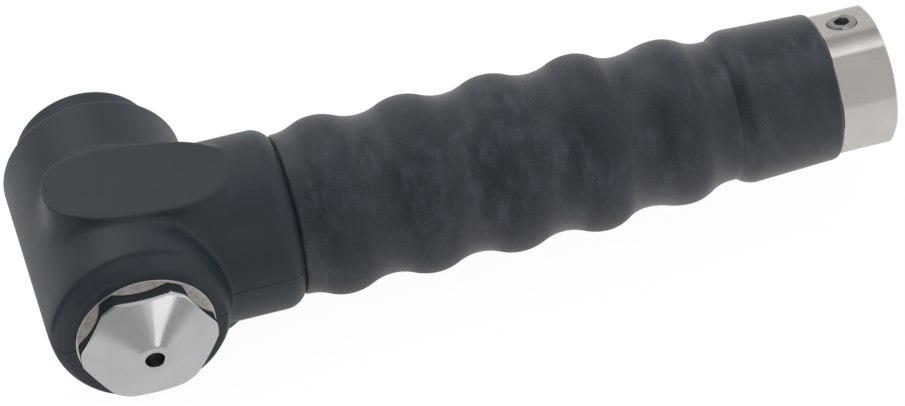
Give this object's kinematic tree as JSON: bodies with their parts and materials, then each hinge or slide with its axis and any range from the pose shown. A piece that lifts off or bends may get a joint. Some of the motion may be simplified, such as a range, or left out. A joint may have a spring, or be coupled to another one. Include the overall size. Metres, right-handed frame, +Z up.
{
  "type": "hand spray nozzle",
  "caption": "Rubber gripped hand spray gun: a metal nozzle square to the handle, opened by a thumb button behind the head, with a clamped hose inlet.",
  "frame": {"origin": "centre of the hose inlet's mouth, on the handle's axis", "axes": "+X along the handle and out of the hose inlet, -Y the way the nozzle points, +Z up, square to the plane of handle and nozzle"},
  "size_m": [0.1786, 0.0658, 0.0406],
  "materials": {
    "casing_plastic": "satin moulded plastic, blue-grey charcoal",
    "button_plastic": "satin moulded plastic, blue-grey charcoal",
    "grip_rubber": "matte moulded rubber with a fine mottled grain",
    "fitting_steel": "turned and finely brushed",
    "nozzle_chrome": "polished faces, satin turned flange",
    "valve_brass": "machined",
    "stainless_steel": "machined",
    "spring_steel": "drawn wire",
    "screw_steel": "machined, slightly dulled",
    "seal_rubber": "moulded"
  },
  "bodies": {
    "handle": {"head_shell_upper": "casing_plastic", "head_shell_lower": "casing_plastic", "shell_screws": "screw_steel", "grip_sleeve": "grip_rubber", "inlet_fitting": "fitting_steel", "inlet_washer": "seal_rubber", "inlet_strainer": "stainless_steel", "handle_tube": "stainless_steel", "tube_seal_valve_end": "seal_rubber", "tube_seal_hose_end": "seal_rubber", "tube_lock_nut": "valve_brass", "valve_body": "valve_brass", "nozzle": "nozzle_chrome", "nozzle_seal": "seal_rubber", "stem_guide": "valve_brass", "stem_seal": "seal_rubber", "guide_seal": "seal_rubber", "return_spring": "spring_steel", "spring_washer": "stainless_steel"},
    "button": {"push_button": "button_plastic", "valve_stem": "stainless_steel", "seat_disc": "seal_rubber", "disc_cup": "stainless_steel", "disc_nut": "stainless_steel", "stem_lock_nut": "stainless_steel"},
    "grub_screw": {"grub_screw": "screw_steel"}
  },
  "joints": [
    {"name": "button_press", "type": "slide", "parent": "handle", "child": "button", "axis": [0, -1, 0], "range_m": [0, 0.004], "stiffness_N_per_m": 2500, "springref_m": -0.008, "deforming": ["return_spring"]},
    {"name": "grub_screw_feed", "type": "slide", "parent": "handle", "child": "grub_screw", "axis": [0, -0.225, -0.9744], "range_m": [0, 0.002]}
  ]
}
